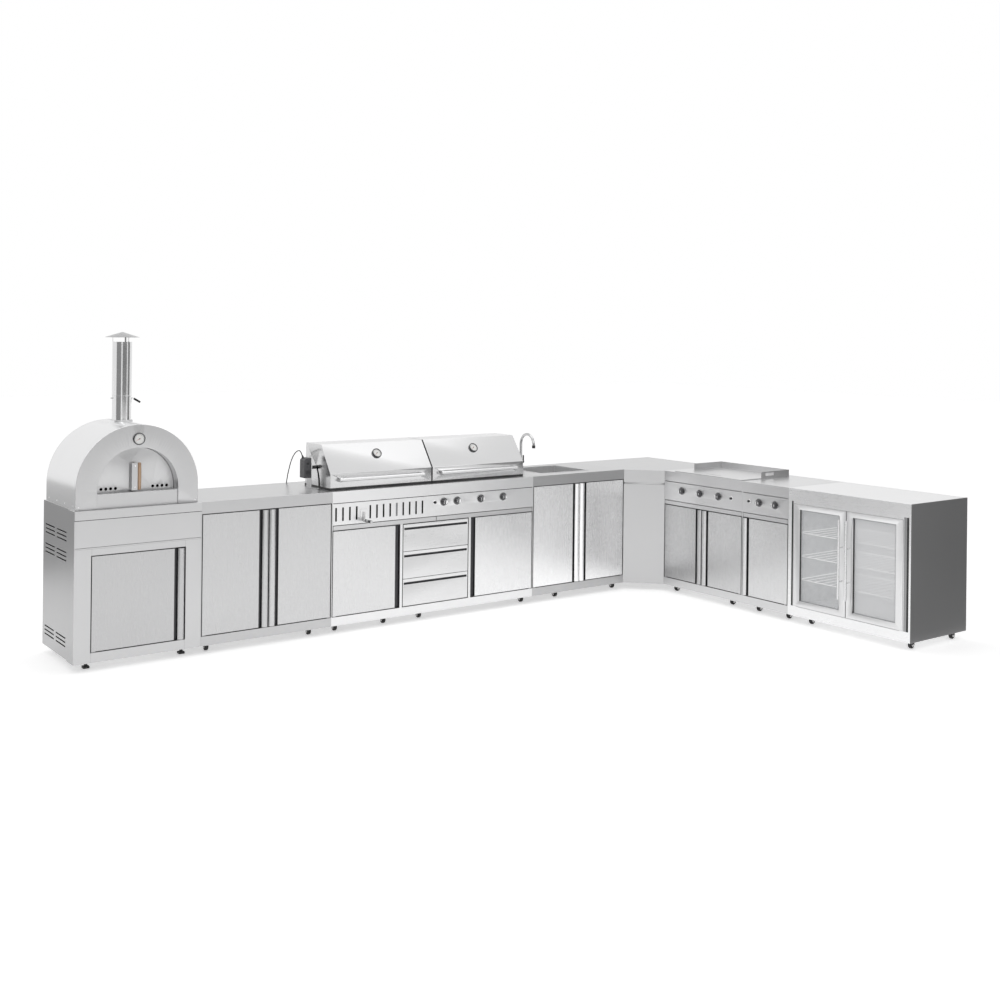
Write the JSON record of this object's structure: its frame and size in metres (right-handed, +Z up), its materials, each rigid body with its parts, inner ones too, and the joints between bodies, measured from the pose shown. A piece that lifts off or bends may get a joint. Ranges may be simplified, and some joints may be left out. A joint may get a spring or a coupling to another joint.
{
  "type": "outdoor kitchen",
  "caption": "L-shaped stainless outdoor kitchen on castors: pizza oven, twin-hood grill, sink, griddle, side burner and glass-door fridge",
  "frame": {"origin": "on the floor, at the middle of the kitchen's footprint, cord left out", "axes": "+X along the long wing from the oven towards the corner, +Y from the fronts to the back of the long wing, +Z up"},
  "size_m": [5.02, 3.2139, 1.94],
  "materials": {
    "cabinet_steel": "brushed",
    "door_steel": "brushed",
    "oven_steel": "satin",
    "polished_steel": "polished",
    "hood_steel": "brushed",
    "grate_iron": "matt",
    "coal_steel": "matt",
    "motor_paint": "satin",
    "black_plastic": "matt",
    "cord_rubber": "matt",
    "castor_rubber": "matt",
    "door_glass": "clear"
  },
  "bodies": {
    "kitchen": {"oven_shell": "oven_steel", "oven_chimney": "polished_steel", "oven_stand": "cabinet_steel", "storage_cabinets": "cabinet_steel", "grill_cabinet": "cabinet_steel", "sink_cabinet": "cabinet_steel", "griddle_cabinet": "cabinet_steel", "fridge_cabinet": "cabinet_steel", "gas_burners": "coal_steel", "cooking_grates": "grate_iron", "griddle_plate": "hood_steel", "castors": "castor_rubber", "fridge_shelves": "polished_steel", "rotisserie_motor": "motor_paint", "motor_cord": "cord_rubber", "cord_coil": "cord_rubber", "cord_plug": "cord_rubber"},
    "oven_door": {"oven_door": "oven_steel"},
    "flue_damper": {"flue_damper": "black_plastic"},
    "stand_door": {"stand_door": "door_steel"},
    "storage_left_door": {"storage_left_door": "door_steel"},
    "storage_right_door": {"storage_right_door": "door_steel"},
    "left_hood": {"left_hood": "hood_steel"},
    "right_hood": {"right_hood": "hood_steel"},
    "spit_rod": {"spit_rod": "polished_steel"},
    "grill_knob_1": {"grill_knob_1": "polished_steel"},
    "grill_knob_2": {"grill_knob_2": "polished_steel"},
    "grill_knob_3": {"grill_knob_3": "polished_steel"},
    "grill_knob_4": {"grill_knob_4": "polished_steel"},
    "grill_button": {"grill_button": "black_plastic"},
    "charcoal_crank": {"charcoal_crank": "polished_steel"},
    "charcoal_tray": {"charcoal_tray": "coal_steel"},
    "grill_left_drip_tray": {"grill_left_drip_tray": "door_steel"},
    "grill_right_drip_tray": {"grill_right_drip_tray": "door_steel"},
    "grill_left_door": {"grill_left_door": "door_steel"},
    "grill_right_door": {"grill_right_door": "door_steel"},
    "top_drawer": {"top_drawer": "door_steel"},
    "middle_drawer": {"middle_drawer": "door_steel"},
    "bottom_drawer": {"bottom_drawer": "door_steel"},
    "sink_left_door": {"sink_left_door": "door_steel"},
    "sink_right_door": {"sink_right_door": "door_steel"},
    "tap_spout": {"tap_spout": "polished_steel"},
    "tap_lever": {"tap_lever": "black_plastic"},
    "griddle_knob_1": {"griddle_knob_1": "polished_steel"},
    "griddle_knob_2": {"griddle_knob_2": "polished_steel"},
    "griddle_knob_3": {"griddle_knob_3": "polished_steel"},
    "griddle_button": {"griddle_button": "black_plastic"},
    "griddle_left_door": {"griddle_left_door": "door_steel"},
    "griddle_right_door": {"griddle_right_door": "door_steel"},
    "griddle_drip_tray": {"griddle_drip_tray": "door_steel"},
    "burner_knob_1": {"burner_knob_1": "polished_steel"},
    "burner_knob_2": {"burner_knob_2": "polished_steel"},
    "burner_button": {"burner_button": "black_plastic"},
    "burner_door": {"burner_door": "door_steel"},
    "burner_drip_tray": {"burner_drip_tray": "door_steel"},
    "burner_lid": {"burner_lid": "cabinet_steel"},
    "fridge_left_door": {"fridge_left_door": "door_steel", "fridge_left_glass": "door_glass"},
    "fridge_right_door": {"fridge_right_door": "door_steel", "fridge_right_glass": "door_glass"}
  },
  "joints": [
    {"name": "oven_door_slide", "type": "slide", "parent": "kitchen", "child": "oven_door", "axis": [0, -1, 0], "range_m": [0, 0.25]},
    {"name": "flue_damper_turn", "type": "hinge", "parent": "kitchen", "child": "flue_damper", "pos_m": [-2.13, 1.225, 1.542], "axis": [1, 0, 0], "range_deg": [0, 90]},
    {"name": "stand_door_hinge", "type": "hinge", "parent": "kitchen", "child": "stand_door", "pos_m": [-2.407, 0.895, 0.113], "axis": [0, 0, 1], "range_deg": [-90, 0]},
    {"name": "storage_left_door_hinge", "type": "hinge", "parent": "kitchen", "child": "storage_left_door", "pos_m": [-1.741, 0.895, 0.113], "axis": [0, 0, 1], "range_deg": [-90, 0]},
    {"name": "storage_right_door_hinge", "type": "hinge", "parent": "kitchen", "child": "storage_right_door", "pos_m": [-0.869, 0.895, 0.113], "axis": [0, 0, 1], "range_deg": [0, 90]},
    {"name": "left_hood_hinge", "type": "hinge", "parent": "kitchen", "child": "left_hood", "pos_m": [-0.844, 1.31, 0.935], "axis": [-1, 0, 0], "range_deg": [0, 80]},
    {"name": "right_hood_hinge", "type": "hinge", "parent": "kitchen", "child": "right_hood", "pos_m": [-0.046, 1.31, 0.935], "axis": [-1, 0, 0], "range_deg": [0, 80]},
    {"name": "spit_turn", "type": "hinge", "parent": "kitchen", "child": "spit_rod", "pos_m": [-0.844, 1.145, 1.058], "axis": [1, 0, 0], "continuous": true},
    {"name": "grill_knob_1_turn", "type": "hinge", "parent": "kitchen", "child": "grill_knob_1", "pos_m": [0.007, 0.875, 0.795], "axis": [0, -1, 0], "range_deg": [0, 270]},
    {"name": "grill_knob_2_turn", "type": "hinge", "parent": "kitchen", "child": "grill_knob_2", "pos_m": [0.118, 0.875, 0.795], "axis": [0, -1, 0], "range_deg": [0, 270]},
    {"name": "grill_knob_3_turn", "type": "hinge", "parent": "kitchen", "child": "grill_knob_3", "pos_m": [0.321, 0.875, 0.795], "axis": [0, -1, 0], "range_deg": [0, 270]},
    {"name": "grill_knob_4_turn", "type": "hinge", "parent": "kitchen", "child": "grill_knob_4", "pos_m": [0.516, 0.875, 0.795], "axis": [0, -1, 0], "range_deg": [0, 270]},
    {"name": "grill_button_press", "type": "slide", "parent": "kitchen", "child": "grill_button", "axis": [0, 1, 0], "range_m": [0, 0.006], "stiffness_N_per_m": 300},
    {"name": "charcoal_crank_turn", "type": "hinge", "parent": "kitchen", "child": "charcoal_crank", "pos_m": [-0.6272, 0.885, 0.767], "axis": [0, -1, 0], "range_deg": [0, 540]},
    {"name": "charcoal_tray_lift", "type": "slide", "parent": "kitchen", "child": "charcoal_tray", "axis": [0, 0, 1], "range_m": [0, 0.08]},
    {"name": "grill_left_drip_tray_slide", "type": "slide", "parent": "kitchen", "child": "grill_left_drip_tray", "axis": [0, -1, 0], "range_m": [0, 0.3]},
    {"name": "grill_right_drip_tray_slide", "type": "slide", "parent": "kitchen", "child": "grill_right_drip_tray", "axis": [0, -1, 0], "range_m": [0, 0.3]},
    {"name": "grill_left_door_hinge", "type": "hinge", "parent": "kitchen", "child": "grill_left_door", "pos_m": [-0.851, 0.895, 0.113], "axis": [0, 0, 1], "range_deg": [-90, 0]},
    {"name": "grill_right_door_hinge", "type": "hinge", "parent": "kitchen", "child": "grill_right_door", "pos_m": [0.781, 0.895, 0.113], "axis": [0, 0, 1], "range_deg": [0, 90]},
    {"name": "top_drawer_slide", "type": "slide", "parent": "kitchen", "child": "top_drawer", "axis": [0, -1, 0], "range_m": [0, 0.38]},
    {"name": "middle_drawer_slide", "type": "slide", "parent": "kitchen", "child": "middle_drawer", "axis": [0, -1, 0], "range_m": [0, 0.38]},
    {"name": "bottom_drawer_slide", "type": "slide", "parent": "kitchen", "child": "bottom_drawer", "axis": [0, -1, 0], "range_m": [0, 0.38]},
    {"name": "sink_left_door_hinge", "type": "hinge", "parent": "kitchen", "child": "sink_left_door", "pos_m": [0.799, 0.895, 0.113], "axis": [0, 0, 1], "range_deg": [-90, 0]},
    {"name": "sink_right_door_hinge", "type": "hinge", "parent": "kitchen", "child": "sink_right_door", "pos_m": [1.671, 0.895, 0.113], "axis": [0, 0, 1], "range_deg": [0, 90]},
    {"name": "tap_spout_swivel", "type": "hinge", "parent": "kitchen", "child": "tap_spout", "pos_m": [1.1, 1.447, 0.985], "axis": [0, 0, 1], "range_deg": [-90, 90]},
    {"name": "tap_lever_tilt", "type": "hinge", "parent": "kitchen", "child": "tap_lever", "pos_m": [1.1153, 1.447, 0.96], "axis": [1, 0, 0], "range_deg": [0, 35]},
    {"name": "griddle_knob_1_turn", "type": "hinge", "parent": "kitchen", "child": "griddle_knob_1", "pos_m": [1.88, 0.488, 0.785], "axis": [-1, 0, 0], "range_deg": [0, 270]},
    {"name": "griddle_knob_2_turn", "type": "hinge", "parent": "kitchen", "child": "griddle_knob_2", "pos_m": [1.88, 0.304, 0.785], "axis": [-1, 0, 0], "range_deg": [0, 270]},
    {"name": "griddle_knob_3_turn", "type": "hinge", "parent": "kitchen", "child": "griddle_knob_3", "pos_m": [1.88, 0.118, 0.785], "axis": [-1, 0, 0], "range_deg": [0, 270]},
    {"name": "griddle_button_press", "type": "slide", "parent": "kitchen", "child": "griddle_button", "axis": [1, 0, 0], "range_m": [0, 0.006], "stiffness_N_per_m": 300},
    {"name": "griddle_left_door_hinge", "type": "hinge", "parent": "kitchen", "child": "griddle_left_door", "pos_m": [1.9, 0.666, 0.113], "axis": [0, 0, 1], "range_deg": [-90, 0]},
    {"name": "griddle_right_door_hinge", "type": "hinge", "parent": "kitchen", "child": "griddle_right_door", "pos_m": [1.9, -0.106, 0.113], "axis": [0, 0, 1], "range_deg": [0, 90]},
    {"name": "griddle_drip_tray_slide", "type": "slide", "parent": "kitchen", "child": "griddle_drip_tray", "axis": [1, 0, 0], "range_m": [-0.3, 0]},
    {"name": "burner_knob_1_turn", "type": "hinge", "parent": "kitchen", "child": "burner_knob_1", "pos_m": [1.88, -0.27, 0.785], "axis": [-1, 0, 0], "range_deg": [0, 270]},
    {"name": "burner_knob_2_turn", "type": "hinge", "parent": "kitchen", "child": "burner_knob_2", "pos_m": [1.88, -0.415, 0.785], "axis": [-1, 0, 0], "range_deg": [0, 270]},
    {"name": "burner_button_press", "type": "slide", "parent": "kitchen", "child": "burner_button", "axis": [1, 0, 0], "range_m": [0, 0.006], "stiffness_N_per_m": 300},
    {"name": "burner_door_hinge", "type": "hinge", "parent": "kitchen", "child": "burner_door", "pos_m": [1.9, -0.526, 0.113], "axis": [0, 0, 1], "range_deg": [0, 90]},
    {"name": "burner_drip_tray_slide", "type": "slide", "parent": "kitchen", "child": "burner_drip_tray", "axis": [1, 0, 0], "range_m": [-0.3, 0]},
    {"name": "burner_lid_hinge", "type": "hinge", "parent": "kitchen", "child": "burner_lid", "pos_m": [2.398, -0.147, 0.92], "axis": [0, 1, 0], "range_deg": [0, 90]},
    {"name": "fridge_left_door_hinge", "type": "hinge", "parent": "kitchen", "child": "fridge_left_door", "pos_m": [1.9, -0.581, 0.118], "axis": [0, 0, 1], "range_deg": [-90, 0]},
    {"name": "fridge_right_door_hinge", "type": "hinge", "parent": "kitchen", "child": "fridge_right_door", "pos_m": [1.9, -1.447, 0.118], "axis": [0, 0, 1], "range_deg": [0, 90]}
  ],
  "couplings": [
    {"joint": "charcoal_tray_lift", "follows": "charcoal_crank_turn", "m_per_rad": 0.00848}
  ]
}
